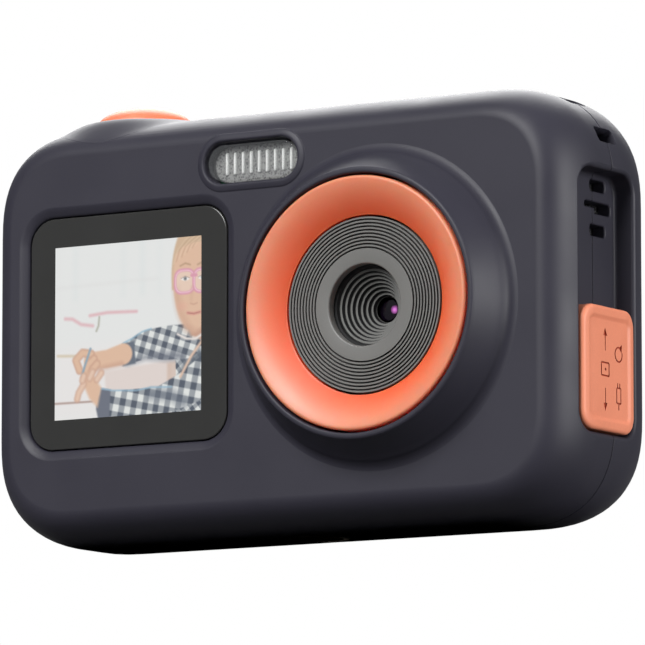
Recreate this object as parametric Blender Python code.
"""Pocket action camera with a front screen, a rear screen and an orange lens ring.

Lengths below are millimetres in the casing's own coordinates: the origin is the middle of the
casing, +X is the port side, -Y the front and +Z up. new_object() turns them into metres and puts
the world origin under the middle of the whole camera, on the surface it stands on.
"""

import math

import bmesh
import bpy
from mathutils import Matrix, Vector

MM = 0.001
GAP = 0.3  # clearance between pieces that touch on the real camera

# Casing
BODY_W = 91.5
BODY_H = 57.3
BODY_D = 26.2
CORNER_R = 15.0
CORNER_POWER = 2.6  # 2 is a circular corner, more is squarer
CORNER_STEPS = 7
FRONT_INSET = 4.7  # how far the rounded front edge pulls in
FRONT_ROUND = 9.4  # and how far back it starts
REAR_INSET = 6.0
REAR_ROUND = 11.2
EDGE_STEPS = 4
WALL = 2.0
SEAM_AHEAD = 1.1  # the shells meet this far in front of the main board
FRONT_Y = -BODY_D / 2
REAR_Y = BODY_D / 2
SIDE_X = BODY_W / 2
TOP_Z = BODY_H / 2

# Lens group, turned about an axis along Y
LENS_Z = 0.1
LENS_PROUD = 5.4
BOSS_LIP = 0.9
BOSS_FLARE = 3.35  # how far the hollow curve round the ring spreads over the front face
RING_R = 16.75
RING_INNER_R = 11.85
RING_DISH = 2.55  # drop from the ring's rim to its inner edge
RING_RIM_W = 1.0
RING_BACK = 0.5  # the ring's back face in front of the casing's front face
DISC_T = 1.2
DISC_HOLE_R = 5.4
HOOD_FLANGE_T = 0.85
HOOD_NECK_R = 8.4
HOOD_DEPTH = 6.05  # from the disc's face to the small end of the funnel
HOOD_APERTURE_R = 1.45
HOOD_STEPS = 4
HOOD_STEP_T = 0.35
BARREL_R = 5.6
BARREL_BORE_R = 4.3
BARREL_L = 6.0
ELEMENT_T = 1.8
HOLDER_W = 13.2
HOLDER_L = 4.6
FILTER_W = 7.6
FILTER_T = 0.4
SENSOR_W = 8.0
SENSOR_H = 6.0
SENSOR_T = 0.9
SENSOR_BOARD_W = 13.2
SENSOR_BOARD_T = 1.0

# Front screen
SCREEN_W = 31.4
SCREEN_CORNER_R = 3.7
SCREEN_SIDE = 5.65  # glass edge to the inside of the side wall
SCREEN_SINK = 0.6
SCREEN_BEVEL = 1.15
SCREEN_GLASS_T = 1.4
SCREEN_PANEL_IN = 2.0  # the panel's edge in from the glass's
SCREEN_PANEL_T = 1.8
SCREEN_FRAME_RIM = 1.6  # how far the frame reaches past the glass
SCREEN_FRAME_T = 2.0
FLEX_T = 0.2
FLEX_W = 8.0
FLEX_TURN_DOWN = 2.1  # how far below the other inner pieces the front screen's cable turns

# Flash lamp above the lens
FLASH_X = -2.5
FLASH_DROP = 7.6  # from the casing's top
FLASH_W = 13.9
FLASH_H = 4.95
FLASH_RIM_W = 0.9
FLASH_RIM_PROUD = 0.3
FLASH_SINK = 0.2
FLASH_T = 1.5
DIFFUSER_T = 1.0
LED_COUNT = 3
LED_W = 2.8
LED_T = 0.7
LED_BOARD_T = 1.0

# Shutter button
BUTTON_SIDE = 18.25  # axis to the casing's side
BUTTON_R = 6.5
BUTTON_RISE = 3.1
BUTTON_DOME = 2.5
BUTTON_FLANGE_W = 0.9
BUTTON_FLANGE_T = 0.9
BUTTON_FLANGE_CLEAR = 0.35  # under the rounded edges of the hollow
BUTTON_STEM_R = 1.5
BUTTON_STEM_L = 0.7
BUTTON_TRAVEL = 0.6
COLLAR_W = 1.6
COLLAR_RISE = 0.6
COLLAR_FOOT = 0.6
COLLAR_ROOT = 0.4  # how deep its foot is set in the casing

# Port bay in the +X side
BAY_DEPTH = 3.3
BAY_FLOOR_T = 1.85
BAY_FRONT_RIM = 5.7  # bay floor in front of the port opening
BAY_REAR_RIM = 0.4  # and behind it
BAY_LOW_Z = -17.2
BAY_HIGH_Z = 17.4
BAY_CORNER_R = 2.6
BAY_SURROUND = 1.8
COVER_TOP_Z = -0.6
COVER_CORNER_R = 2.4
COVER_PIVOT_IN = 0.75  # hinge line in from the side face and up from the cover's lower edge
PLUG_IN = 1.25
PLUG_CLEAR = 0.8
PORT_AHEAD = 3.2  # the opening reaches this far in front of the main board's front face
PORT_BEHIND = 4.4  # and this far behind it
PORT_LOW_Z = -15.0
PORT_HIGH_Z = -2.2
ANCHOR_R = 1.0
ANCHOR_HEAD_R = 1.7
ANCHOR_HEAD_T = 1.2
SLOT_T = 1.5
SLOT_BEHIND = 0.3  # middle of the slots behind the main board's front face
SPEAKER_SLOTS = ((4.0, 15.8), (6.8, 12.9), (4.0, 9.9))  # length and middle z
SPEAKER_W = 11.4
SPEAKER_AHEAD = 1.4  # middle of the speaker in front of the slots
SPEAKER_T = 3.4
SPEAKER_LOW_Z = 6.5
SPEAKER_MESH_T = 0.3

# Strap eye: a ring-shaped passage round a bar at the upper +X corner
STRAP_AHEAD = 2.1  # how far the passage reaches in front of the seam
STRAP_BEHIND = 2.6  # and behind it
STRAP_IN = 3.5  # bar centre in from the side
STRAP_DOWN = 3.5  # and down from the top
STRAP_BAR_R = 2.4
STRAP_PASSAGE = 2.3
STRAP_WALL = 1.7

# Rear screen and keys
REAR_GLASS_W = 47.0
REAR_GLASS_H = 34.4
REAR_GLASS_SIDE = 8.6
REAR_GLASS_T = 1.1
REAR_GLASS_SINK = 0.1
REAR_GLASS_R = 2.5
REAR_VIEW_W = 41.6
REAR_VIEW_H = 31.2
REAR_PANEL_W = 45.0
REAR_PANEL_H = 34.0
REAR_PANEL_T = 2.3
KEYPAD_SIDE = 19.5  # keypad middle to the casing's side
KEY_PROUD = 0.6
KEY_TRAVEL = 0.4
KEY_FLANGE_W = 0.6
KEY_FLANGE_T = 0.9
OK_R = 3.4
PAD_INNER_R = 4.7
PAD_OUTER_R = 9.2
PAD_SPAN = 70.0  # degrees each direction key takes up
ROUND_KEY_R = 2.6
ROUND_KEY_SPREAD = 5.0
POWER_KEY_W = 8.0
POWER_KEY_H = 3.6
KEY_ROW = 15.6  # power key above and round keys below the keypad's middle
MEMBRANE_T = 0.8
MEMBRANE_W = 21.0
KEYPAD_BOARD_T = 1.0
MIC_R = 1.8
MIC_T = 1.4
MIC_HOLE_R = 0.6
MIC_SIDE = 55.2

# Screws, tripod socket and the boards
SCREW_SIDE = 10.25
SCREW_DROP = 8.35
SCREW_BOSS_R = 2.6
SCREW_R = 1.0
SCREW_HEAD_R = 1.8
SCREW_HEAD_T = 1.4
SCREW_SUNK = 1.5
SCREW_BITE = 4.8  # length of a screw inside the front shell's post
TRIPOD_BORE_R = 3.175
TRIPOD_R = 4.5
TRIPOD_L = 6.9
TRIPOD_FLOOR = 1.2
TRIPOD_SINK = 0.2
TRIPOD_WALL = 1.5
INNER_SIDE = 5.5  # left ends of the inner pieces in from the casing's side
INNER_CLEAR = 0.5  # flat pieces stay this far from the screw posts
BOARD_T = 1.2
BOARD_CLEAR = 1.0  # from the sensor's board to the main board
BOARD_TAB_W = 7.0
BOARD_NOTCH_X = 1.9  # space beside the speaker where the board is cut away
BOARD_NOTCH_Z = 1.5  # and below it
SWITCH_W = 6.0
SWITCH_D = 4.2
SWITCH_H = 3.4
CHIP_W = 12.0
CHIP_T = 1.2
BATTERY_W = 34.0
BATTERY_T = 5.0
TRAY_T = 0.8
LEAD_R = 0.5
USB_W = 9.0
USB_H = 3.2
USB_L = 6.8
USB_WALL = 0.35
CARD_L = 15.0
CARD_W = 11.0
CARD_T = 0.8
CARD_TRAVEL = 0.8
SLOT_WALL = 0.6
SLOT_TO_LENS = 0.25  # from the card slot's inner end to the lens holder
RESET_W = 2.6
RESET_L = 2.2
RESET_PLUNGER_R = 0.7
RESET_PLUNGER_L = 1.0
RESET_GAP = 0.4

# Places worked out from the sizes above
CENTRE = Vector((0.0, (LENS_PROUD - KEY_PROUD) / 2, TOP_Z))
BAY_FLOOR_X = SIDE_X - BAY_DEPTH
BAY_INNER_X = BAY_FLOOR_X - BAY_FLOOR_T
INSIDE_X = BAY_INNER_X - GAP  # the pieces behind the port bay end here
CARD_SLOT_L = CARD_L + CARD_TRAVEL + GAP + SLOT_WALL
LENS_X = INSIDE_X - CARD_SLOT_L - SLOT_TO_LENS - HOLDER_W / 2
LENS_AT = (LENS_X, LENS_Z)
BOSS_TOP_R = RING_R + GAP + BOSS_LIP
BOSS_BASE_R = BOSS_TOP_R + BOSS_FLARE
RING_FRONT_Y = FRONT_Y - LENS_PROUD
DISC_FRONT_Y = RING_FRONT_Y + RING_DISH
DISC_BACK_Y = DISC_FRONT_Y + DISC_T
RING_BACK_Y = FRONT_Y - RING_BACK
SEAT_Y = RING_BACK_Y + GAP
HOOD_FRONT_Y = DISC_BACK_Y + GAP
HOOD_END_Y = DISC_FRONT_Y + HOOD_DEPTH
BARREL_Y = HOOD_END_Y + GAP
BARREL_END_Y = BARREL_Y + BARREL_L
FILTER_Y = BARREL_END_Y + GAP
SENSOR_Y = FILTER_Y + FILTER_T + GAP
SENSOR_BOARD_Y = SENSOR_Y + SENSOR_T + GAP
HOLDER_Y = SENSOR_BOARD_Y - GAP - HOLDER_L
BOARD_Y = SENSOR_BOARD_Y + SENSOR_BOARD_T + BOARD_CLEAR
BOARD_BACK_Y = BOARD_Y + BOARD_T
SEAM_Y = BOARD_Y - SEAM_AHEAD
SCREEN_X = -SIDE_X + WALL + SCREEN_SIDE + SCREEN_W / 2
SCREEN_PANEL_W = SCREEN_W - 2 * SCREEN_PANEL_IN
SCREEN_BACK_Y = FRONT_Y + SCREEN_SINK + SCREEN_GLASS_T
PANEL_Y = SCREEN_BACK_Y + GAP
FRAME_Y = max(PANEL_Y, FRONT_Y + WALL + GAP)
FLEX_Y = FRAME_Y + SCREEN_FRAME_T + GAP
BATTERY_Y = FLEX_Y + FLEX_T + GAP
TRAY_Y = BATTERY_Y + BATTERY_T + GAP
FLASH_Z = TOP_Z - FLASH_DROP
FLASH_WINDOW_Y = FRONT_Y + FLASH_SINK
DIFFUSER_Y = FLASH_WINDOW_Y + FLASH_T + GAP
LED_Y = DIFFUSER_Y + DIFFUSER_T + GAP
LED_BOARD_Y = LED_Y + LED_T + GAP
BUTTON_X = -SIDE_X + BUTTON_SIDE
PORT_FRONT_Y = BOARD_Y - PORT_AHEAD
PORT_REAR_Y = BOARD_Y + PORT_BEHIND
PORT_MID_Z = (PORT_LOW_Z + PORT_HIGH_Z) / 2
BAY_FRONT_Y = PORT_FRONT_Y - BAY_FRONT_RIM
BAY_REAR_Y = PORT_REAR_Y + BAY_REAR_RIM
SLOT_Y = BOARD_Y + SLOT_BEHIND
STRAP_AT = (SIDE_X - STRAP_IN, TOP_Z - STRAP_DOWN)
STRAP_FRONT_Y = SEAM_Y - STRAP_AHEAD
STRAP_REAR_Y = SEAM_Y + STRAP_BEHIND
REAR_GLASS_X = SIDE_X - REAR_GLASS_SIDE - REAR_GLASS_W / 2
REAR_INNER_Y = REAR_Y - WALL
KEYPAD_X = -SIDE_X + KEYPAD_SIDE
KEY_FLANGE_Y = REAR_INNER_Y - GAP
KEY_BACK_Y = KEY_FLANGE_Y - KEY_FLANGE_T
MEMBRANE_Y = KEY_BACK_Y - KEY_TRAVEL - 2 * GAP
KEYPAD_BOARD_Y = MEMBRANE_Y - MEMBRANE_T - GAP
MIC_Z = REAR_GLASS_H / 2 + 2 * GAP + MIC_R
SCREW_X = SIDE_X - SCREW_SIDE
SCREW_Z = TOP_Z - SCREW_DROP
SCREW_FACE_Y = REAR_Y - SCREW_SUNK
SCREW_TIP_Y = SEAM_Y - SCREW_BITE
INNER_HALF_H = SCREW_Z - SCREW_BOSS_R - INNER_CLEAR
INNER_LEFT_X = -SIDE_X + INNER_SIDE

AXES = {"X": (1, 2, 0), "Y": (0, 2, 1), "Z": (0, 1, 2)}  # the two across, then the one along


# ---- points and surfaces ----


def at(axis, across, along):
    """A point from its two coordinates across an axis and the one along it."""
    first, second, third = AXES[axis]
    point = [0.0, 0.0, 0.0]
    point[first], point[second], point[third] = across[0], across[1], along
    return point


def add_rings(bm, rings, loop=False):
    """Joins rings of points into one closed surface: capped at its ends, or the last joined to the first."""
    rows = [[bm.verts.new(point) for point in ring] for ring in rings]
    pairs = list(zip(rows, rows[1:]))
    if loop:
        pairs.append((rows[-1], rows[0]))
    for low, high in pairs:
        for i in range(len(low)):
            j = (i + 1) % len(low)
            bm.faces.new((low[i], low[j], high[j], high[i]))
    if not loop:
        bm.faces.new(rows[0])
        bm.faces.new(rows[-1])
    return bm


def add_prism(bm, outline, axis, low, high):
    return add_rings(bm, [[at(axis, point, along) for point in outline] for along in (low, high)])


def add_turned(bm, profile, axis, centre, sides, hollow=False):
    """A turned solid from (radius, distance along the axis) points."""
    rings = []
    for radius, along in profile:
        ring = []
        for i in range(sides):
            angle = 2 * math.pi * i / sides
            across = (centre[0] + radius * math.cos(angle), centre[1] + radius * math.sin(angle))
            ring.append(at(axis, across, along))
        rings.append(ring)
    return add_rings(bm, rings, loop=hollow)


def add_rod(bm, axis, centre, radius, low, high, sides=12):
    return add_turned(bm, [(radius, low), (radius, high)], axis, centre, sides)


def add_box(bm, low, high):
    corners = ((low[0], low[2]), (high[0], low[2]), (high[0], high[2]), (low[0], high[2]))
    return add_prism(bm, corners, "Y", low[1], high[1])


def rounded(centre, width, height, radius, steps=3):
    """A rounded rectangle about centre."""
    points = []
    for corner in range(4):
        turn = math.pi / 2 * corner
        mid_x = centre[0] + math.copysign(width / 2 - radius, math.cos(turn + math.pi / 4))
        mid_z = centre[1] + math.copysign(height / 2 - radius, math.sin(turn + math.pi / 4))
        for i in range(steps + 1):
            angle = turn + math.pi / 2 * i / steps
            points.append((mid_x + radius * math.cos(angle), mid_z + radius * math.sin(angle)))
    return points


def spanning(low, high, radius, grow=0.0):
    """A rounded rectangle between two corners, grown outwards."""
    centre = ((low[0] + high[0]) / 2, (low[1] + high[1]) / 2)
    width = high[0] - low[0] + 2 * grow
    height = high[1] - low[1] + 2 * grow
    return rounded(centre, width, height, radius + grow)


def stadium(centre, width, height, steps=6):
    return rounded(centre, width, height, height / 2 - 0.01, steps)


def sector(centre, inner, outer, middle, span, steps=5):
    """A piece of a ring between two radii, span degrees wide about middle."""
    angles = [math.radians(middle + span * (i / steps - 0.5)) for i in range(steps + 1)]
    arc = [(outer, angle) for angle in angles] + [(inner, angle) for angle in reversed(angles)]
    return [(centre[0] + r * math.cos(a), centre[1] + r * math.sin(a)) for r, a in arc]


def casing_outline(inset):
    """The casing's outline in X and Z, pulled in by inset."""
    radius = CORNER_R - inset
    mid_x, mid_z = SIDE_X - CORNER_R, TOP_Z - CORNER_R
    points = []
    for corner in range(4):
        for i in range(CORNER_STEPS + 1):
            angle = math.pi / 2 * (corner + i / CORNER_STEPS)
            reach = []
            for value in (math.cos(angle), math.sin(angle)):
                reach.append(radius * abs(value) ** (2 / CORNER_POWER))
            side = math.copysign(1, math.cos(math.pi / 2 * corner + math.pi / 4))
            up = math.copysign(1, math.sin(math.pi / 2 * corner + math.pi / 4))
            points.append((side * (mid_x + reach[0]), up * (mid_z + reach[1])))
    return points


def add_half_casing(bm, facing, start, wall):
    """Half of the casing's outer form, or its hollow where wall is above 0.

    facing is -1 for the front and 1 for the rear, and start is the y where it begins.
    """
    inset, depth = (FRONT_INSET, FRONT_ROUND) if facing < 0 else (REAR_INSET, REAR_ROUND)
    rings = [[at("Y", point, start) for point in casing_outline(wall)]]
    for i in range(EDGE_STEPS + 1):
        angle = math.pi / 2 * i / EDGE_STEPS
        back = wall + (depth - wall) * (1 - math.sin(angle))
        outline = casing_outline(wall + inset * (1 - math.cos(angle)))
        rings.append([at("Y", point, facing * (BODY_D / 2 - back)) for point in outline])
    return add_rings(bm, rings)


def edge_drop(y, wall):
    """How far the rounded edges pull the casing's top down at y, or its hollow's if wall is above 0."""
    inset, depth = (FRONT_INSET, FRONT_ROUND) if y < SEAM_Y else (REAR_INSET, REAR_ROUND)
    back = BODY_D / 2 - abs(y) - wall
    share = min(1, back / (depth - wall))
    return wall + inset * (1 - math.sqrt(1 - (1 - share) ** 2))


def flange_top_z():
    """The button's flange hangs clear of the hollow where that is lowest above it."""
    reach = BUTTON_R + BUTTON_FLANGE_W + GAP
    drop = max(edge_drop(SEAM_Y - reach, WALL), edge_drop(SEAM_Y + reach, WALL))
    return TOP_Z - drop - BUTTON_FLANGE_CLEAR


def stem_end_z():
    return flange_top_z() - BUTTON_FLANGE_T - BUTTON_STEM_L


# ---- objects ----


def clear_scene():
    for obj in list(bpy.data.objects):
        bpy.data.objects.remove(obj, do_unlink=True)


def new_object(name, bm, pivot=(0.0, 0.0, 0.0)):
    """An object from casing coordinates, with its own origin at pivot."""
    pivot = Vector(pivot)
    bmesh.ops.recalc_face_normals(bm, faces=bm.faces)
    bm.transform(Matrix.Scale(MM, 4) @ Matrix.Translation(-pivot))
    mesh = bpy.data.meshes.new(name)
    bm.to_mesh(mesh)
    bm.free()
    mesh.shade_smooth()
    mesh.set_sharp_from_angle(angle=math.radians(35))
    obj = bpy.data.objects.new(name, mesh)
    obj.location = (pivot + CENTRE) * MM
    bpy.context.scene.collection.objects.link(obj)
    return obj


def piece(name, bm, material, pivot=(0.0, 0.0, 0.0)):
    obj = new_object(name, bm, pivot)
    obj.data.materials.append(material)
    return obj


def helper(name, bm):
    """A shape that only adds to or cuts from others."""
    obj = new_object(name, bm)
    obj.hide_render = True
    obj.display_type = "WIRE"
    return obj


def combine(obj, other, operation):
    modifier = obj.modifiers.new(other.name, "BOOLEAN")
    modifier.operation = operation
    modifier.solver = "EXACT"
    modifier.object = other


def new_material(name, colour, roughness, metallic=0.0):
    material = bpy.data.materials.new(name)
    material.use_nodes = True
    shader = material.node_tree.nodes["Principled BSDF"]
    shader.inputs["Base Color"].default_value = (*colour, 1.0)
    shader.inputs["Roughness"].default_value = roughness
    shader.inputs["Metallic"].default_value = metallic
    return material


# ---- casing ----


def casing_blocks():
    """Solid parts left standing inside both hollows."""
    bay = add_prism(
        bmesh.new(),
        spanning((BAY_FRONT_Y, BAY_LOW_Z), (BAY_REAR_Y, BAY_HIGH_Z), BAY_CORNER_R, BAY_SURROUND),
        "X",
        BAY_INNER_X,
        SIDE_X + 1,
    )
    strap_r = STRAP_BAR_R + STRAP_PASSAGE + STRAP_WALL
    strap = bmesh.new()
    add_rod(strap, "Y", STRAP_AT, strap_r, STRAP_FRONT_Y - STRAP_WALL, STRAP_REAR_Y + STRAP_WALL, 24)
    posts = bmesh.new()
    for x in (-SCREW_X, SCREW_X):
        for z in (-SCREW_Z, SCREW_Z):
            add_rod(posts, "Y", (x, z), SCREW_BOSS_R, -BODY_D, BODY_D)
    socket = bmesh.new()
    socket_top = -TOP_Z + TRIPOD_SINK + TRIPOD_L + GAP + TRIPOD_WALL
    add_rod(socket, "Z", (0, SEAM_Y), TRIPOD_R + GAP + TRIPOD_WALL, -TOP_Z - 1, socket_top, 20)
    named = {"bay_block": bay, "strap_block": strap, "screw_posts": posts, "tripod_block": socket}
    return [helper(name, bm) for name, bm in named.items()]


def casing_cuts():
    """Openings that cross the seam, so both shells are cut by them."""
    bay = add_prism(
        bmesh.new(),
        spanning((BAY_FRONT_Y, BAY_LOW_Z), (BAY_REAR_Y, BAY_HIGH_Z), BAY_CORNER_R),
        "X",
        BAY_FLOOR_X,
        SIDE_X + 2,
    )
    port = add_prism(
        bmesh.new(),
        spanning((PORT_FRONT_Y, PORT_LOW_Z), (PORT_REAR_Y, PORT_HIGH_Z), 0.8),
        "X",
        BAY_INNER_X - 2,
        BAY_FLOOR_X + 1,
    )
    add_rod(port, "X", anchor_at(), ANCHOR_R + GAP, BAY_INNER_X - 2, BAY_FLOOR_X + 1, 10)
    slots = bmesh.new()
    for length, mid_z in SPEAKER_SLOTS:
        outline = rounded((SLOT_Y, mid_z), length, SLOT_T, SLOT_T * 0.3, 2)
        add_prism(slots, outline, "X", BAY_INNER_X - 2, BAY_FLOOR_X + 1)
    strap = bmesh.new()
    inner, outer = STRAP_BAR_R, STRAP_BAR_R + STRAP_PASSAGE
    low, high = STRAP_FRONT_Y, STRAP_REAR_Y
    add_turned(strap, [(inner, low), (outer, low), (outer, high), (inner, high)], "Y", STRAP_AT, 24, True)
    button = bmesh.new()
    add_rod(button, "Z", (BUTTON_X, SEAM_Y), BUTTON_R + GAP, flange_top_z() + GAP, TOP_Z + 5, 32)
    tripod = bmesh.new()
    depth = -TOP_Z + TRIPOD_SINK + TRIPOD_L + GAP
    add_rod(tripod, "Z", (0, SEAM_Y), TRIPOD_R + GAP, -TOP_Z - 1, depth, 20)
    named = {
        "bay_cut": bay,
        "port_cut": port,
        "slot_cut": slots,
        "strap_cut": strap,
        "button_cut": button,
        "tripod_cut": tripod,
    }
    return [helper(name, bm) for name, bm in named.items()]


def collar_half(name, facing):
    """The raised rim round the shutter button, on one side of the seam."""
    inner = BUTTON_R + GAP + COLLAR_W
    foot = inner + COLLAR_FOOT
    root = max(edge_drop(SEAM_Y - foot, 0), edge_drop(SEAM_Y + foot, 0)) + COLLAR_ROOT
    profile = [
        (foot, TOP_Z - root),
        (foot, TOP_Z),
        (inner + COLLAR_FOOT / 3, TOP_Z + COLLAR_RISE * 0.45),
        (inner, TOP_Z + COLLAR_RISE),
    ]
    bm = add_turned(bmesh.new(), profile, "Z", (BUTTON_X, SEAM_Y), 32)
    bmesh.ops.recalc_face_normals(bm, faces=bm.faces)
    everything = bm.verts[:] + bm.edges[:] + bm.faces[:]
    middle = (0, SEAM_Y + facing * GAP / 2, 0)
    bmesh.ops.bisect_plane(bm, geom=everything, plane_co=middle, plane_no=(0, -facing, 0), clear_outer=True)
    bmesh.ops.holes_fill(bm, edges=[edge for edge in bm.edges if edge.is_boundary], sides=0)
    return helper(name, bm)


def shell(name, facing, blocks, material):
    """One half of the casing with its hollow."""
    start = SEAM_Y + facing * GAP / 2
    obj = piece(name, add_half_casing(bmesh.new(), facing, start, 0), material)
    hollow = helper(name + "_hollow", add_half_casing(bmesh.new(), facing, start - facing * 2, WALL))
    for block in blocks:
        combine(hollow, block, "DIFFERENCE")
    combine(obj, hollow, "DIFFERENCE")
    combine(obj, collar_half(name + "_collar", facing), "UNION")
    return obj


def lens_boss():
    """The round mount that blends out of the front face in a hollow curve."""
    profile = [(BOSS_BASE_R, FRONT_Y + WALL / 2)]
    steps = 6
    for i in range(steps + 1):
        angle = math.pi / 2 * i / steps
        radius = BOSS_BASE_R - BOSS_FLARE * math.sin(angle)
        profile.append((radius, FRONT_Y - (LENS_PROUD - BOSS_LIP / 2) * (1 - math.cos(angle))))
    profile.append((BOSS_TOP_R - BOSS_LIP / 2, RING_FRONT_Y))
    return helper("lens_boss", add_turned(bmesh.new(), profile, "Y", LENS_AT, 48))


def flash_rim():
    grow = 2 * FLASH_RIM_W
    outline = stadium((FLASH_X, FLASH_Z), FLASH_W + grow, FLASH_H + grow)
    rim = add_prism(bmesh.new(), outline, "Y", FRONT_Y - FLASH_RIM_PROUD, FRONT_Y + WALL / 2)
    return helper("flash_rim", rim)


def front_cuts():
    lens = add_turned(
        bmesh.new(),
        [
            (RING_R + GAP, RING_FRONT_Y - 1),
            (RING_R + GAP, SEAT_Y),
            (HOOD_NECK_R + GAP, SEAT_Y),
            (HOOD_NECK_R + GAP, FRONT_Y + WALL + 1),
        ],
        "Y",
        LENS_AT,
        48,
    )
    sink_y = FRONT_Y + SCREEN_SINK
    overshoot = 0.5
    spread = SCREEN_BEVEL * (SCREEN_SINK + overshoot) / SCREEN_SINK
    rings = []
    for y, grow in ((FRONT_Y - overshoot, spread), (sink_y, 0), (FRONT_Y + WALL + 1, 0)):
        width = SCREEN_W + 2 * (GAP + grow)
        outline = rounded((SCREEN_X, 0), width, width, SCREEN_CORNER_R + GAP + grow, 4)
        rings.append([at("Y", point, y) for point in outline])
    screen = add_rings(bmesh.new(), rings)
    outline = stadium((FLASH_X, FLASH_Z), FLASH_W + 2 * GAP, FLASH_H + 2 * GAP)
    flash = add_prism(bmesh.new(), outline, "Y", FRONT_Y - 2, LED_BOARD_Y)
    pilots = bmesh.new()
    for x, z in screw_places():
        add_rod(pilots, "Y", (x, z), SCREW_R + GAP, SCREW_TIP_Y - 1, SEAM_Y + 1)
    named = {"lens_cut": lens, "screen_cut": screen, "flash_cut": flash, "pilot_cut": pilots}
    return [helper(name, bm) for name, bm in named.items()]


def front_shell(blocks, cuts, material):
    obj = shell("front_shell", -1, blocks, material)
    combine(obj, lens_boss(), "UNION")
    combine(obj, flash_rim(), "UNION")
    for cut in cuts + front_cuts():
        combine(obj, cut, "DIFFERENCE")


def screw_places():
    return [(x, z) for x in (-SCREW_X, SCREW_X) for z in (-SCREW_Z, SCREW_Z)]


def rear_cuts():
    pocket_y = REAR_Y - REAR_GLASS_SINK - REAR_GLASS_T - GAP
    pocket = bmesh.new()
    size = (REAR_GLASS_W + 2 * GAP, REAR_GLASS_H + 2 * GAP)
    add_prism(pocket, rounded((REAR_GLASS_X, 0), *size, REAR_GLASS_R + GAP), "Y", pocket_y, REAR_Y + 1)
    window = bmesh.new()
    add_prism(window, rounded((REAR_GLASS_X, 0), REAR_VIEW_W, REAR_VIEW_H, 1), "Y", REAR_INNER_Y - 2, REAR_Y)
    keys = bmesh.new()
    for outline in key_outlines(GAP).values():
        add_prism(keys, outline, "Y", REAR_INNER_Y - 1, REAR_Y + 1)
    add_rod(keys, "Y", (SIDE_X - MIC_SIDE, MIC_Z), MIC_HOLE_R, REAR_INNER_Y - 1, REAR_Y + 1, 8)
    screws = bmesh.new()
    seat_y = SCREW_FACE_Y - SCREW_HEAD_T - GAP
    for x, z in screw_places():
        profile = [
            (SCREW_R + GAP, SEAM_Y - 1),
            (SCREW_R + GAP, seat_y),
            (SCREW_HEAD_R + GAP, seat_y),
            (SCREW_HEAD_R + GAP, REAR_Y + 1),
        ]
        add_turned(screws, profile, "Y", (x, z), 12)
    named = {"rear_glass_cut": pocket, "rear_window_cut": window, "key_cut": keys, "screw_cut": screws}
    return [helper(name, bm) for name, bm in named.items()]


def rear_shell(blocks, cuts, material):
    obj = shell("rear_shell", 1, blocks, material)
    for cut in cuts + rear_cuts():
        combine(obj, cut, "DIFFERENCE")


def housing_screws(material):
    for number, (x, z) in enumerate(screw_places(), 1):
        shank_y = SCREW_FACE_Y - SCREW_HEAD_T
        profile = [
            (SCREW_R, SCREW_TIP_Y),
            (SCREW_R, shank_y),
            (SCREW_HEAD_R, shank_y),
            (SCREW_HEAD_R, SCREW_FACE_Y - 0.3),
            (SCREW_HEAD_R - 0.3, SCREW_FACE_Y),
        ]
        piece(f"housing_screw_{number}", add_turned(bmesh.new(), profile, "Y", (x, z), 12), material)


def tripod_insert(material):
    low = -TOP_Z + TRIPOD_SINK
    top = low + TRIPOD_L
    profile = [
        (TRIPOD_BORE_R, low),
        (TRIPOD_R, low),
        (TRIPOD_R, top),
        (TRIPOD_BORE_R * 0.2, top),
        (TRIPOD_BORE_R * 0.2, top - TRIPOD_FLOOR),
        (TRIPOD_BORE_R, top - TRIPOD_FLOOR),
    ]
    bm = add_turned(bmesh.new(), profile, "Z", (0, SEAM_Y), 20, True)
    piece("tripod_insert", bm, material)


# ---- lens ----


def lens_ring(material):
    """Outer ring whose face dishes in from a rounded rim to the trim disc."""
    rim_r = RING_R - RING_RIM_W
    profile = [(RING_INNER_R, RING_BACK_Y), (RING_R, RING_BACK_Y), (RING_R, RING_FRONT_Y + 0.8)]
    profile.append((RING_R - RING_RIM_W * 0.35, RING_FRONT_Y + 0.2))
    steps = 5
    for i in range(steps + 1):
        share = i / steps
        radius = rim_r + (RING_INNER_R - rim_r) * share
        profile.append((radius, RING_FRONT_Y + RING_DISH * math.sin(math.pi / 2 * share)))
    piece("lens_ring", add_turned(bmesh.new(), profile, "Y", LENS_AT, 48, True), material)


def lens_trim_disc(material):
    outer = RING_INNER_R - GAP
    profile = [
        (DISC_HOLE_R, DISC_FRONT_Y),
        (outer, DISC_FRONT_Y),
        (outer, DISC_BACK_Y),
        (DISC_HOLE_R, DISC_BACK_Y),
    ]
    piece("lens_trim_disc", add_turned(bmesh.new(), profile, "Y", LENS_AT, 48, True), material)


def lens_hood(material):
    """Stepped funnel that narrows to the aperture, with a flange on the casing's seat."""
    flange_r = RING_INNER_R - 2 * GAP
    funnel = [(DISC_HOLE_R - GAP, HOOD_FRONT_Y)]
    for i in range(1, HOOD_STEPS + 1):
        share = i / HOOD_STEPS
        radius = DISC_HOLE_R - GAP + (HOOD_APERTURE_R - DISC_HOLE_R + GAP) * share
        y = HOOD_FRONT_Y + (HOOD_END_Y - HOOD_FRONT_Y) * share
        funnel += [(funnel[-1][0], y - HOOD_STEP_T), (radius, y - HOOD_STEP_T)]
    funnel.append((HOOD_APERTURE_R, HOOD_END_Y))
    outside = [
        (HOOD_NECK_R, HOOD_END_Y),
        (HOOD_NECK_R, HOOD_FRONT_Y + HOOD_FLANGE_T),
        (flange_r, HOOD_FRONT_Y + HOOD_FLANGE_T),
        (flange_r, HOOD_FRONT_Y),
    ]
    piece("lens_hood", add_turned(bmesh.new(), funnel + outside, "Y", LENS_AT, 32, True), material)


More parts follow.
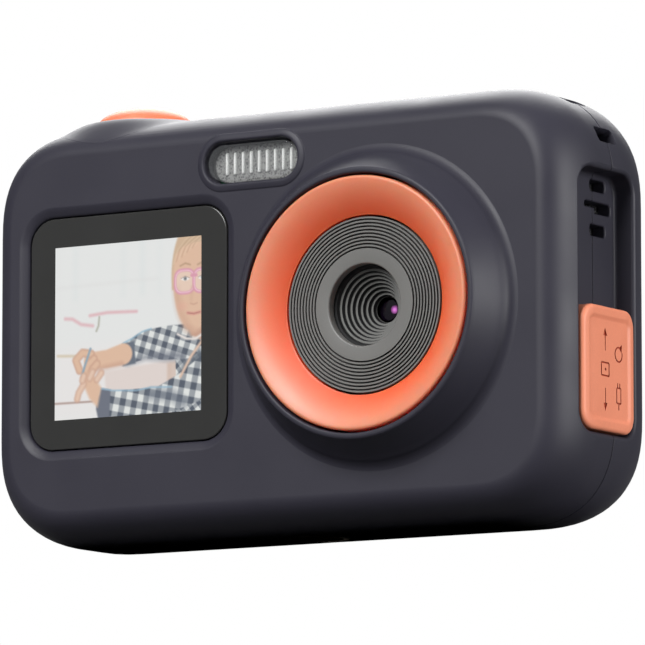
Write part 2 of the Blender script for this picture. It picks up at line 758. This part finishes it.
def lens_optics(barrel_material, glass_material, filter_material):
    profile = [
        (BARREL_BORE_R, BARREL_Y),
        (BARREL_R, BARREL_Y),
        (BARREL_R, BARREL_END_Y),
        (BARREL_BORE_R, BARREL_END_Y),
    ]
    piece("lens_barrel", add_turned(bmesh.new(), profile, "Y", LENS_AT, 24, True), barrel_material)
    glass_r = BARREL_BORE_R - GAP
    front = [
        (glass_r * 0.5, BARREL_Y + 0.1),
        (glass_r, BARREL_Y + 0.6),
        (glass_r, BARREL_Y + ELEMENT_T),
    ]
    piece("lens_front_element", add_turned(bmesh.new(), front, "Y", LENS_AT, 20), glass_material)
    rear = [
        (glass_r, BARREL_END_Y - ELEMENT_T),
        (glass_r, BARREL_END_Y - 0.6),
        (glass_r * 0.5, BARREL_END_Y - 0.1),
    ]
    piece("lens_rear_element", add_turned(bmesh.new(), rear, "Y", LENS_AT, 20), glass_material)
    square = rounded(LENS_AT, FILTER_W, FILTER_W, 0.5, 1)
    piece("ir_filter", add_prism(bmesh.new(), square, "Y", FILTER_Y, FILTER_Y + FILTER_T), filter_material)


def lens_sensor(holder_material, sensor_material, board_material):
    block = add_prism(
        bmesh.new(),
        rounded(LENS_AT, HOLDER_W, HOLDER_W, 1.5),
        "Y",
        HOLDER_Y,
        HOLDER_Y + HOLDER_L,
    )
    holder = piece("lens_holder", block, holder_material)
    bore = bmesh.new()
    add_rod(bore, "Y", LENS_AT, BARREL_R + GAP, HOLDER_Y - 1, HOLDER_Y + HOLDER_L + 1, 24)
    combine(holder, helper("holder_bore", bore), "DIFFERENCE")
    chip = add_prism(
        bmesh.new(),
        rounded(LENS_AT, SENSOR_W, SENSOR_H, 0.3, 1),
        "Y",
        SENSOR_Y,
        SENSOR_Y + SENSOR_T,
    )
    piece("image_sensor", chip, sensor_material)
    board = add_prism(
        bmesh.new(),
        rounded(LENS_AT, SENSOR_BOARD_W, SENSOR_BOARD_W, 1),
        "Y",
        SENSOR_BOARD_Y,
        SENSOR_BOARD_Y + SENSOR_BOARD_T,
    )
    piece("sensor_board", board, board_material)


# ---- front screen and flash ----


def front_screen(glass_material, panel_material, frame_material, flex_material):
    centre = (SCREEN_X, 0)
    glass = rounded(centre, SCREEN_W, SCREEN_W, SCREEN_CORNER_R, 4)
    front_y = FRONT_Y + SCREEN_SINK
    piece("front_display_glass", add_prism(bmesh.new(), glass, "Y", front_y, SCREEN_BACK_Y), glass_material)
    panel = rounded(centre, SCREEN_PANEL_W, SCREEN_PANEL_W, 0.6, 1)
    module = add_prism(bmesh.new(), panel, "Y", PANEL_Y, PANEL_Y + SCREEN_PANEL_T)
    piece("front_display_panel", module, panel_material)
    frame_end = FRAME_Y + SCREEN_FRAME_T
    outer = SCREEN_W + 2 * SCREEN_FRAME_RIM
    ring = add_prism(bmesh.new(), rounded(centre, outer, outer, 4.5, 4), "Y", FRAME_Y, frame_end)
    frame = piece("front_display_frame", ring, frame_material)
    neck = add_prism(bmesh.new(), glass, "Y", PANEL_Y, (FRAME_Y + frame_end) / 2)
    combine(frame, helper("frame_neck", neck), "UNION")
    inner = SCREEN_PANEL_W + 2 * GAP
    hole = add_prism(bmesh.new(), rounded(centre, inner, inner, 0.9, 1), "Y", PANEL_Y - 1, frame_end + 1)
    combine(frame, helper("frame_hole", hole), "DIFFERENCE")
    turn_z = -INNER_HALF_H - FLEX_TURN_DOWN
    route = ((FLEX_Y, -8.0), (FLEX_Y, turn_z), (BOARD_Y - GAP, turn_z))
    ribbon("front_display_flex", route, SCREEN_X, flex_material)


def ribbon(name, route, x, material):
    """A flat cable through (y, z) corners, square at each bend."""
    (y0, z0), (y1, z1), (y2, z2) = route
    reach = math.copysign(FLEX_T, y2 - y1)
    rise = math.copysign(FLEX_T, z0 - z1)
    outline = (
        (y0, z0),
        (y1, z1),
        (y2, z2),
        (y2, z2 + rise),
        (y1 + reach, z1 + rise),
        (y0 + reach, z0),
    )
    piece(name, add_prism(bmesh.new(), outline, "X", x - FLEX_W / 2, x + FLEX_W / 2), material)


def flash_lamp(window_material, diffuser_material, board_material, led_material):
    outline = stadium((FLASH_X, FLASH_Z), FLASH_W, FLASH_H)
    window = add_prism(bmesh.new(), outline, "Y", FLASH_WINDOW_Y, FLASH_WINDOW_Y + FLASH_T)
    piece("flash_window", window, window_material)
    diffuser = add_prism(bmesh.new(), outline, "Y", DIFFUSER_Y, DIFFUSER_Y + DIFFUSER_T)
    piece("flash_diffuser", diffuser, diffuser_material)
    shape = rounded((FLASH_X, FLASH_Z), FLASH_W + 1.5, FLASH_H - GAP, 0.5, 1)
    board = add_prism(bmesh.new(), shape, "Y", LED_BOARD_Y, LED_BOARD_Y + LED_BOARD_T)
    piece("flash_led_board", board, board_material)
    pitch = FLASH_W / LED_COUNT
    for number in range(LED_COUNT):
        x = FLASH_X + (number - (LED_COUNT - 1) / 2) * pitch
        square = rounded((x, FLASH_Z), LED_W, LED_W, 0.3, 1)
        body = add_prism(bmesh.new(), square, "Y", LED_Y, LED_Y + LED_T)
        piece(f"flash_led_{number + 1}", body, led_material)


# ---- shutter ----


def shutter(button_material, switch_material):
    top = TOP_Z + BUTTON_RISE
    edge = top - BUTTON_DOME
    flange_r = BUTTON_R + BUTTON_FLANGE_W
    flange_z = flange_top_z()
    profile = [
        (BUTTON_STEM_R, stem_end_z()),
        (BUTTON_STEM_R, flange_z - BUTTON_FLANGE_T),
        (flange_r, flange_z - BUTTON_FLANGE_T),
        (flange_r, flange_z),
        (BUTTON_R, flange_z),
    ]
    steps = 5
    for i in range(steps):
        angle = math.pi / 2 * i / steps
        profile.append((BUTTON_R * math.cos(angle), edge + BUTTON_DOME * math.sin(angle)))
    profile.append((BUTTON_R * 0.12, top))
    bm = add_turned(bmesh.new(), profile, "Z", (BUTTON_X, SEAM_Y), 32)
    piece("shutter_button", bm, button_material, pivot=(BUTTON_X, SEAM_Y, TOP_Z))
    switch_top = stem_end_z() - BUTTON_TRAVEL - GAP
    rear = BOARD_Y - GAP
    low_corner = (BUTTON_X - SWITCH_W / 2, rear - SWITCH_D, switch_top - SWITCH_H)
    box = add_box(bmesh.new(), low_corner, (BUTTON_X + SWITCH_W / 2, rear, switch_top))
    piece("shutter_switch", box, switch_material)


# ---- port bay ----


def anchor_at():
    """Where the cover's tether stud goes through the bay floor, in y and z."""
    return ((BAY_FRONT_Y + PORT_FRONT_Y) / 2, PORT_LOW_Z + ANCHOR_HEAD_R)


def port_cover(material, anchor_material):
    """Cover whose outer face is the casing's own side, with a plug for the port opening."""
    low = (BAY_FRONT_Y + GAP, BAY_LOW_Z + GAP)
    high = (BAY_REAR_Y - GAP, COVER_TOP_Z)
    pivot_x = SIDE_X - COVER_PIVOT_IN
    pivot = (pivot_x, 0, low[1] + COVER_PIVOT_IN)
    blank = add_prism(bmesh.new(), spanning(low, high, COVER_CORNER_R), "X", BAY_FLOOR_X + GAP, SIDE_X + 1)
    cover = piece("port_cover", blank, material, pivot)
    combine(cover, helper("side_surface", add_casing_envelope(bmesh.new())), "INTERSECT")
    plug_low = (PORT_FRONT_Y + GAP, PORT_LOW_Z + GAP)
    plug_high = (PORT_REAR_Y - GAP, PORT_HIGH_Z - PLUG_CLEAR)
    plug = add_prism(
        bmesh.new(),
        spanning(plug_low, plug_high, 0.6),
        "X",
        BAY_FLOOR_X - PLUG_IN,
        BAY_FLOOR_X + 1,
    )
    combine(cover, helper("cover_plug", plug), "UNION")
    profile = [
        (ANCHOR_HEAD_R, INSIDE_X - ANCHOR_HEAD_T),
        (ANCHOR_HEAD_R, INSIDE_X),
        (ANCHOR_R, INSIDE_X),
        (ANCHOR_R, BAY_FLOOR_X),
    ]
    stud = add_turned(bmesh.new(), profile, "X", anchor_at(), 10)
    piece("port_cover_anchor", stud, anchor_material)


def add_casing_envelope(bm):
    """The whole casing's outer form, front and rear in one."""
    rings = []
    for facing, inset, depth in ((-1, FRONT_INSET, FRONT_ROUND), (1, REAR_INSET, REAR_ROUND)):
        half = []
        for i in range(EDGE_STEPS + 1):
            angle = math.pi / 2 * i / EDGE_STEPS
            y = facing * (BODY_D / 2 - depth * (1 - math.sin(angle)))
            outline = casing_outline(inset * (1 - math.cos(angle)))
            half.append([at("Y", point, y) for point in outline])
        rings += half[::-1] if facing < 0 else half
    return add_rings(bm, rings)


def ports(shell_material, plastic_material, card_material):
    """USB socket on the board's rear, card slot on its front, reset switch above the socket."""
    usb_y = BOARD_BACK_Y + GAP
    usb_z = PORT_LOW_Z
    low = (INSIDE_X - USB_L, usb_y, usb_z)
    high = (INSIDE_X, usb_y + USB_H, usb_z + USB_W)
    socket = piece("usb_socket", add_box(bmesh.new(), low, high), shell_material)
    mouth = add_box(
        bmesh.new(),
        (INSIDE_X - USB_L + 1, low[1] + USB_WALL, low[2] + USB_WALL),
        (INSIDE_X + 1, high[1] - USB_WALL, high[2] - USB_WALL),
    )
    combine(socket, helper("usb_mouth", mouth), "DIFFERENCE")
    card_y = BOARD_Y - 2 * GAP - SLOT_WALL - CARD_T
    card_low = (INSIDE_X - CARD_L, card_y, PORT_MID_Z - CARD_W / 2)
    card_high = (INSIDE_X, card_y + CARD_T, PORT_MID_Z + CARD_W / 2)
    hollow_low = (card_low[0] - CARD_TRAVEL - GAP, card_low[1] - GAP, card_low[2] - GAP)
    hollow_high = (card_high[0] + 1, card_high[1] + GAP, card_high[2] + GAP)
    slot_low = [value - SLOT_WALL for value in hollow_low]
    slot_high = (INSIDE_X, hollow_high[1] + SLOT_WALL, hollow_high[2] + SLOT_WALL)
    slot = piece("card_slot", add_box(bmesh.new(), slot_low, slot_high), shell_material)
    combine(slot, helper("card_hollow", add_box(bmesh.new(), hollow_low, hollow_high)), "DIFFERENCE")
    card = add_box(bmesh.new(), card_low, card_high)
    piece("memory_card", card, card_material, pivot=(INSIDE_X, card_y + CARD_T / 2, PORT_MID_Z))
    reset_z = usb_z + USB_W + GAP
    reset_x = INSIDE_X - RESET_PLUNGER_L - RESET_GAP
    reset = add_box(
        bmesh.new(),
        (reset_x - RESET_L, usb_y, reset_z),
        (reset_x, usb_y + RESET_W, reset_z + RESET_W),
    )
    piece("reset_switch", reset, plastic_material)
    plunger_at = (usb_y + RESET_W / 2, reset_z + RESET_W / 2)
    plunger = bmesh.new()
    add_rod(plunger, "X", plunger_at, RESET_PLUNGER_R, reset_x + RESET_GAP, INSIDE_X, 8)
    piece("reset_plunger", plunger, plastic_material, pivot=(INSIDE_X, *plunger_at))


def speaker(driver_material, mesh_material):
    mid_y = SLOT_Y - SPEAKER_AHEAD
    high_x = INSIDE_X - SPEAKER_MESH_T - GAP
    low = (high_x - SPEAKER_T, mid_y - SPEAKER_W / 2, SPEAKER_LOW_Z)
    high = (high_x, mid_y + SPEAKER_W / 2, INNER_HALF_H)
    piece("speaker", add_box(bmesh.new(), low, high), driver_material)
    mesh_low = (INSIDE_X - SPEAKER_MESH_T, low[1], low[2])
    piece("speaker_mesh", add_box(bmesh.new(), mesh_low, (INSIDE_X, high[1], high[2])), mesh_material)


# ---- rear screen and keys ----


def rear_screen(glass_material, panel_material, flex_material, mic_material):
    front = REAR_Y - REAR_GLASS_SINK
    outline = rounded((REAR_GLASS_X, 0), REAR_GLASS_W, REAR_GLASS_H, REAR_GLASS_R)
    glass = add_prism(bmesh.new(), outline, "Y", front - REAR_GLASS_T, front)
    piece("rear_display_glass", glass, glass_material)
    panel_y = REAR_INNER_Y - GAP
    outline = rounded((REAR_GLASS_X, 0), REAR_PANEL_W, REAR_PANEL_H, 0.8, 1)
    panel = add_prism(bmesh.new(), outline, "Y", panel_y - REAR_PANEL_T, panel_y)
    piece("rear_display_panel", panel, panel_material)
    start_y = panel_y - REAR_PANEL_T - GAP
    route = ((start_y, -3.0), (start_y, -INNER_HALF_H + 1), (BOARD_BACK_Y + GAP, -INNER_HALF_H + 1))
    ribbon("rear_display_flex", route, REAR_GLASS_X - 6, flex_material)
    mic = bmesh.new()
    add_rod(mic, "Y", (SIDE_X - MIC_SIDE, MIC_Z), MIC_R, panel_y - MIC_T, panel_y, 14)
    piece("microphone", mic, mic_material)


def key_outlines(grow):
    """Each key's outline in x and z, grown by the clearance of its hole or the width of its flange."""
    centre = (KEYPAD_X, 0)
    outlines = {}
    for name, angle in (("right", 180), ("up", 90), ("left", 0), ("down", 270)):
        slack = math.degrees(min(grow, GAP) / PAD_INNER_R) * 2
        inner = PAD_INNER_R - min(grow, GAP)
        outlines["key_" + name] = sector(centre, inner, PAD_OUTER_R + grow, angle, PAD_SPAN + slack)
    outlines["key_ok"] = disc_outline(centre, OK_R + grow)
    low_z = -KEY_ROW
    outlines["key_menu"] = disc_outline((KEYPAD_X + ROUND_KEY_SPREAD, low_z), ROUND_KEY_R + grow)
    outlines["key_playback"] = disc_outline((KEYPAD_X - ROUND_KEY_SPREAD, low_z), ROUND_KEY_R + grow)
    size = (POWER_KEY_W + 2 * grow, POWER_KEY_H + 2 * grow)
    outlines["key_power"] = stadium((KEYPAD_X, KEY_ROW), *size, steps=4)
    return outlines


def disc_outline(centre, radius, sides=20):
    angles = [2 * math.pi * i / sides for i in range(sides)]
    return [(centre[0] + radius * math.cos(a), centre[1] + radius * math.sin(a)) for a in angles]


def rear_keys(materials, membrane_material, board_material):
    """Key caps, each with a flange behind the wall that keeps it in."""
    flanges = key_outlines(KEY_FLANGE_W)
    for name, outline in key_outlines(0).items():
        rings = [
            [at("Y", point, KEY_BACK_Y) for point in flanges[name]],
            [at("Y", point, KEY_FLANGE_Y) for point in flanges[name]],
            [at("Y", point, KEY_FLANGE_Y) for point in outline],
            [at("Y", point, REAR_Y + KEY_PROUD) for point in outline],
        ]
        middle = [sum(values) / len(outline) for values in zip(*outline)]
        pivot = (middle[0], REAR_Y, middle[1])
        piece(name, add_rings(bmesh.new(), rings), materials.get(name, materials["other"]), pivot)
    height = 2 * INNER_HALF_H
    pad = rounded((KEYPAD_X, 0), MEMBRANE_W, height, 1.5)
    sheet = add_prism(bmesh.new(), pad, "Y", MEMBRANE_Y - MEMBRANE_T, MEMBRANE_Y)
    piece("keypad_membrane", sheet, membrane_material)
    board = add_prism(bmesh.new(), pad, "Y", KEYPAD_BOARD_Y - KEYPAD_BOARD_T, KEYPAD_BOARD_Y)
    piece("keypad_board", board, board_material)


# ---- boards and battery ----


def main_board(board_material, chip_material):
    """Board outline with a tab up to the shutter switch and a cut-away for the speaker."""
    left = INNER_LEFT_X
    step_x = INSIDE_X - SPEAKER_MESH_T - 2 * GAP - SPEAKER_T - BOARD_NOTCH_X
    step_z = SPEAKER_LOW_Z - BOARD_NOTCH_Z
    tab_top = stem_end_z() - BUTTON_TRAVEL - 2 * GAP
    half = INNER_HALF_H
    tab = BOARD_TAB_W / 2
    outline = (
        (left, -half),
        (INSIDE_X, -half),
        (INSIDE_X, step_z),
        (step_x, step_z),
        (step_x, half),
        (BUTTON_X + tab, half),
        (BUTTON_X + tab, tab_top),
        (BUTTON_X - tab, tab_top),
        (BUTTON_X - tab, half),
        (left, half),
    )
    piece("main_board", add_prism(bmesh.new(), outline, "Y", BOARD_Y, BOARD_BACK_Y), board_material)
    chip = rounded((LENS_X - HOLDER_W, 4), CHIP_W, CHIP_W, 0.3, 1)
    body = add_prism(bmesh.new(), chip, "Y", BOARD_BACK_Y + GAP, BOARD_BACK_Y + GAP + CHIP_T)
    piece("processor", body, chip_material)


def battery(cell_material, tray_material, lead_materials):
    left = INNER_LEFT_X
    half = INNER_HALF_H
    outline = spanning((left, -half), (left + BATTERY_W, half), 2)
    cell = add_prism(bmesh.new(), outline, "Y", BATTERY_Y, BATTERY_Y + BATTERY_T)
    piece("battery", cell, cell_material)
    tray = add_prism(bmesh.new(), outline, "Y", TRAY_Y, TRAY_Y + TRAY_T)
    piece("battery_tray", tray, tray_material)
    for number, (name, material) in enumerate(lead_materials.items()):
        x = left + BATTERY_W + GAP + LEAD_R
        z = half - 4 - number * 2 * (LEAD_R + GAP)
        lead = bmesh.new()
        add_rod(lead, "Y", (x, z), LEAD_R, BATTERY_Y + 1, BOARD_Y - GAP, 8)
        piece(name, lead, material)


def main():
    clear_scene()
    casing = new_material("casing_plastic", (0.060, 0.058, 0.075), 0.45)
    orange = new_material("orange_plastic", (0.80, 0.17, 0.045), 0.4)
    orange_rubber = new_material("orange_rubber", (0.74, 0.17, 0.06), 0.6)
    black = new_material("black_plastic", (0.012, 0.012, 0.013), 0.45)
    grey_key = new_material("key_plastic", (0.03, 0.03, 0.035), 0.4)
    trim = new_material("trim_aluminium", (0.19, 0.19, 0.185), 0.4, 0.85)
    steel = new_material("steel", (0.55, 0.55, 0.56), 0.3, 1.0)
    brass = new_material("brass", (0.70, 0.52, 0.22), 0.3, 1.0)
    screen_glass = new_material("screen_glass", (0.03, 0.03, 0.032), 0.08)
    clear = new_material("clear_window", (0.75, 0.77, 0.78), 0.1)
    frosted = new_material("frosted_diffuser", (0.85, 0.86, 0.84), 0.5)
    lens_glass = new_material("lens_glass", (0.10, 0.04, 0.12), 0.03)
    filter_glass = new_material("filter_glass", (0.30, 0.55, 0.60), 0.05)
    silicon = new_material("silicon", (0.06, 0.07, 0.10), 0.2, 0.4)
    circuit = new_material("circuit_board", (0.02, 0.10, 0.05), 0.5)
    chip = new_material("chip_resin", (0.02, 0.02, 0.02), 0.6)
    led = new_material("led_phosphor", (0.85, 0.70, 0.15), 0.4)
    module = new_material("display_module", (0.35, 0.36, 0.38), 0.35, 0.3)
    film = new_material("flex_film", (0.45, 0.20, 0.04), 0.4)
    silicone = new_material("keypad_silicone", (0.22, 0.22, 0.23), 0.7)
    cell = new_material("battery_wrap", (0.10, 0.18, 0.42), 0.45)
    red = new_material("lead_red", (0.55, 0.03, 0.02), 0.5)

    blocks = casing_blocks()
    cuts = casing_cuts()
    front_shell(blocks, cuts, casing)
    rear_shell(blocks, cuts, casing)
    housing_screws(steel)
    tripod_insert(brass)
    lens_ring(orange)
    lens_trim_disc(trim)
    lens_hood(black)
    lens_optics(black, lens_glass, filter_glass)
    lens_sensor(black, silicon, circuit)
    front_screen(screen_glass, module, black, film)
    flash_lamp(clear, frosted, circuit, led)
    shutter(orange, black)
    port_cover(orange_rubber, orange_rubber)
    ports(steel, black, black)
    speaker(black, steel)
    rear_screen(screen_glass, module, film, steel)
    rear_keys({"key_ok": orange, "other": grey_key}, silicone, circuit)
    main_board(circuit, chip)
    battery(cell, black, {"battery_lead_red": red, "battery_lead_black": black})


main()
